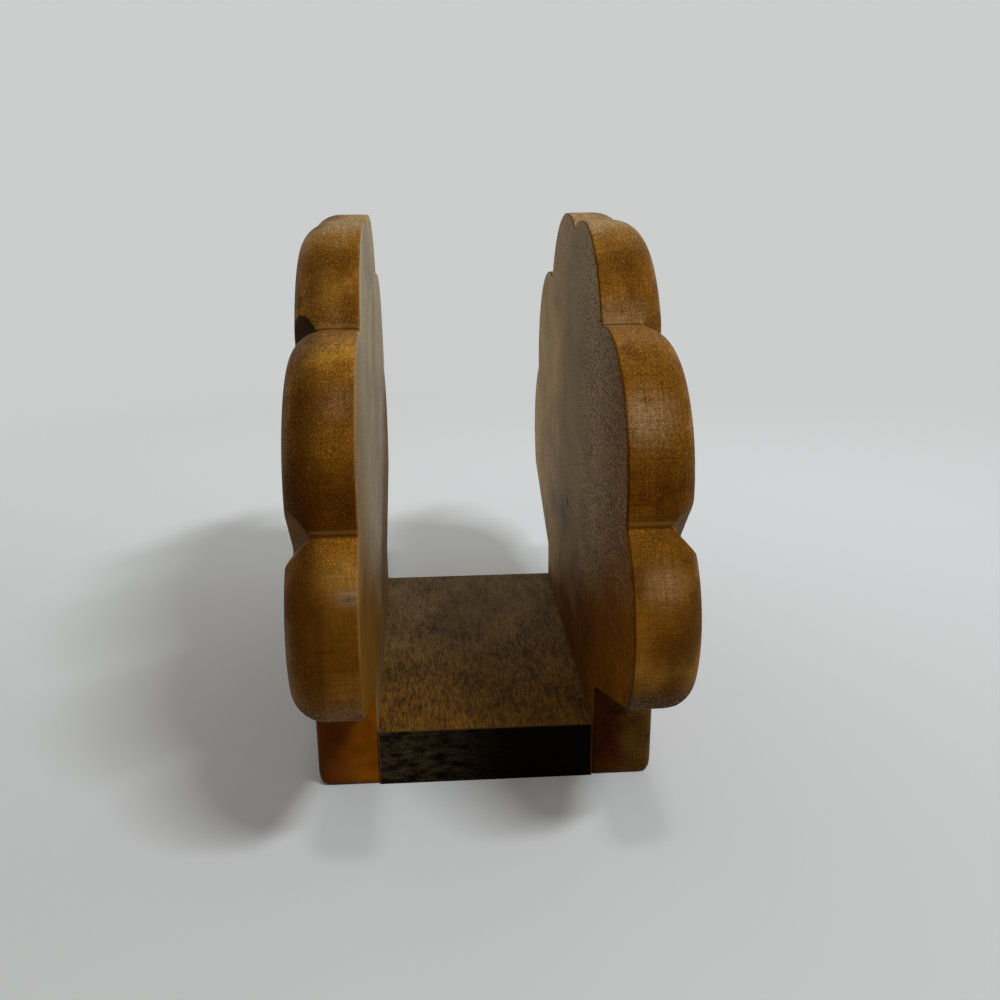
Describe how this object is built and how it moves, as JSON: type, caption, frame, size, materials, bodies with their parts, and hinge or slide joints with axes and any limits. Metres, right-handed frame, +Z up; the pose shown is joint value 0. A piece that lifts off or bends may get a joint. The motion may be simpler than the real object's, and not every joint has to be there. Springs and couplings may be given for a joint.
{
  "type": "napkin holder",
  "caption": "Upright wooden napkin holder: scalloped side panels with rounded outer edges, doweled and glued to a flat base board, open at both ends and the top.",
  "frame": {"origin": "middle of the underside, on the surface that the holder stands on", "axes": "+Z up, Y along the slot with -Y the front, X across the slot with +X the right panel's side"},
  "size_m": [0.0694, 0.157, 0.1109],
  "materials": {
    "panel_wood": "satin",
    "base_wood": "satin",
    "dowel_wood": "matte"
  },
  "bodies": {
    "root": {"left_panel": "panel_wood", "right_panel": "panel_wood", "base_board": "base_wood", "dowel_left_front": "dowel_wood", "dowel_left_back": "dowel_wood", "dowel_right_front": "dowel_wood", "dowel_right_back": "dowel_wood"}
  },
  "joints": []
}
